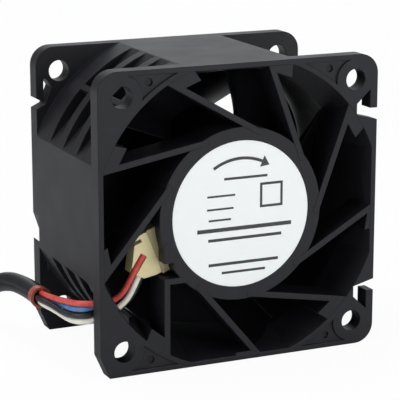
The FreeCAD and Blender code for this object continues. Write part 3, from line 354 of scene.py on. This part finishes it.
def lay_cord(name, route, diameter, material):
    """A smooth round cord along a route given in millimetres, in place of its CAD tube."""
    curve = bpy.data.curves.new(name + "_cord", "CURVE")
    curve.dimensions = "3D"
    curve.bevel_depth = diameter / 2
    curve.bevel_resolution = 5
    curve.resolution_u = 16
    curve.use_fill_caps = True
    spline = curve.splines.new("NURBS")
    spline.points.add(len(route) - 1)
    for point, place in zip(spline.points, route):
        point.co = (*(MILLIMETRE * x for x in place), 1)
    spline.order_u = 3
    spline.use_endpoint_u = True
    curve.materials.append(material)
    cord = bpy.data.objects.new(name + "_cord", curve)
    bpy.context.scene.collection.objects.link(cord)
    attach(cord, "stator")
    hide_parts(name)
    return cord


for name, route in WIRE_ROUTES.items():
    slot, colour, pale = WIRE_COATS[name]
    wire = lay_cord(name, route, WIRE_DIAMETER, soft_coat(slot, colour, pale, 0.3))


# The wires are gathered in a black shrunk sleeve behind a red-brown collar. The sleeve lies
# down beside the fan and ends in a cream plug housing with four sockets.

SLEEVE_DIAMETER, SLEEVE_LENGTH = 0.004, 0.0687
SLEEVE_ROUTE = [(-34.6, 4.2, 11.55), (-34.6, 10.4, 11.55), (-36.3, 18.5, 11.2), (-39.2, 27.0, 7.2),
                (-47.5, 33.4, 3.2), (-59.0, 32.0, 2.1), (-66.5, 22.4, 2.1), (-65.2, 11.2, 2.1)]

dress(soft_coat("collar_rubber", (0.27, 0.04, 0.025), (0.38, 0.08, 0.05), 0.35), "sleeve_collar")
dress(moulded_plastic("connector_plastic", (0.72, 0.67, 0.52), (0.8, 0.76, 0.64), 0.34), "lead_connector")
sleeve_rubber = soft_coat("sleeve_rubber", (0.004, 0.004, 0.005), (0.01, 0.0105, 0.013), 0.36, gloss=0.3)
sleeve = lay_cord("lead_sleeve", SLEEVE_ROUTE, SLEEVE_DIAMETER, sleeve_rubber)


# The fan stands on a plain white table in soft, slightly cool light from all sides, seen by a
# long lens from a little above and to the left of its outlet.

TABLE_HALF, TABLE_DROP = 3.0, 0.00002
TABLE_WHITE_SHARE = 0.95
WORLD_LEVEL = 0.3
SOFTBOX_COLOUR = (0.94, 0.965, 1.0)


def seen_by_camera(node_tree):
    """1 for what the camera sees, and 0 for what lights the object or shows in its gloss."""
    path = node_tree.nodes.new("ShaderNodeLightPath")
    camera = Signal(path.outputs["Is Camera Ray"])
    return camera.maths("MAXIMUM", camera, Signal(path.outputs["Is Transmission Ray"]))


mesh = bmesh.new()
bmesh.ops.create_grid(mesh, x_segments=1, y_segments=1, size=TABLE_HALF)
bmesh.ops.translate(mesh, verts=mesh.verts, vec=(0, 0, -TABLE_DROP))
data = bpy.data.meshes.new("table")
mesh.to_mesh(data)
mesh.free()
table = bpy.data.objects.new("table", data)
bpy.context.scene.collection.objects.link(table)
table_white = bpy.data.materials.new("table_white")
table_white.use_nodes = True
tree = table_white.node_tree
shader = tree.nodes["Principled BSDF"]
shader.inputs["Base Color"].default_value = (0.9, 0.9, 0.9, 1)
shader.inputs["Roughness"].default_value = 0.8
seen = seen_by_camera(tree)
glow = seen.node("Emission", {}, {"Color": (1, 1, 1, 1), "Strength": 1.0})
mixed = seen.node("MixShader", {}, {0: seen * TABLE_WHITE_SHARE, 1: Signal(shader.outputs[0]), 2: glow})
tree.links.new(tree.nodes["Material Output"].inputs["Surface"], mixed.socket)
data.materials.append(table_white)

world = bpy.data.worlds.new("studio")
bpy.context.scene.world = world
world.use_nodes = True
tree = world.node_tree
background = tree.nodes["Background"]
background.inputs["Color"].default_value = (1, 1, 1, 1)
seen = seen_by_camera(tree)
(WORLD_LEVEL + (1 - WORLD_LEVEL) * seen).into(background, "Strength")


def softbox(name, place, target, size, power):
    data = bpy.data.lights.new(name, "AREA")
    data.color = SOFTBOX_COLOUR
    data.size = size
    data.energy = power
    lamp = bpy.data.objects.new(name, data)
    bpy.context.scene.collection.objects.link(lamp)
    lamp.location = place
    lamp.rotation_euler = (Vector(place) - Vector(target)).to_track_quat("Z", "Y").to_euler()


FAN_MIDDLE = (0, 0, HUB_HEIGHT)
softbox("top_softbox", (-0.15, 0.1, 0.6), FAN_MIDDLE, 0.5, 2.4)
softbox("left_softbox", (-0.6, -0.1, 0.25), FAN_MIDDLE, 0.4, 1.3)
softbox("front_softbox", (0.3, -0.7, 0.1), FAN_MIDDLE, 0.5, 3.1)
softbox("back_softbox", (0.32, 0.72, 0.24), FAN_MIDDLE, 0.6, 1.3)

VIEW_AZIMUTH, VIEW_ELEVATION = math.radians(-24.44), math.radians(13.55)
VIEW_TARGET = Vector((-0.00036, 0, 0.02874))
VIEW_DISTANCE = 0.36694
LENS = 160.61

back = Vector((math.sin(VIEW_AZIMUTH) * math.cos(VIEW_ELEVATION),
               -math.cos(VIEW_AZIMUTH) * math.cos(VIEW_ELEVATION), math.sin(VIEW_ELEVATION)))
right = Vector((math.cos(VIEW_AZIMUTH), math.sin(VIEW_AZIMUTH), 0))
camera_data = bpy.data.cameras.new("camera")
camera_data.lens = LENS
camera_data.clip_start = 0.01
camera = bpy.data.objects.new("camera", camera_data)
bpy.context.scene.collection.objects.link(camera)
axes = Matrix((right, back.cross(right), back)).transposed().to_4x4()
camera.matrix_world = Matrix.Translation(VIEW_TARGET + back * VIEW_DISTANCE) @ axes
bpy.context.scene.camera = camera
bpy.context.scene.view_settings.view_transform = "Standard"
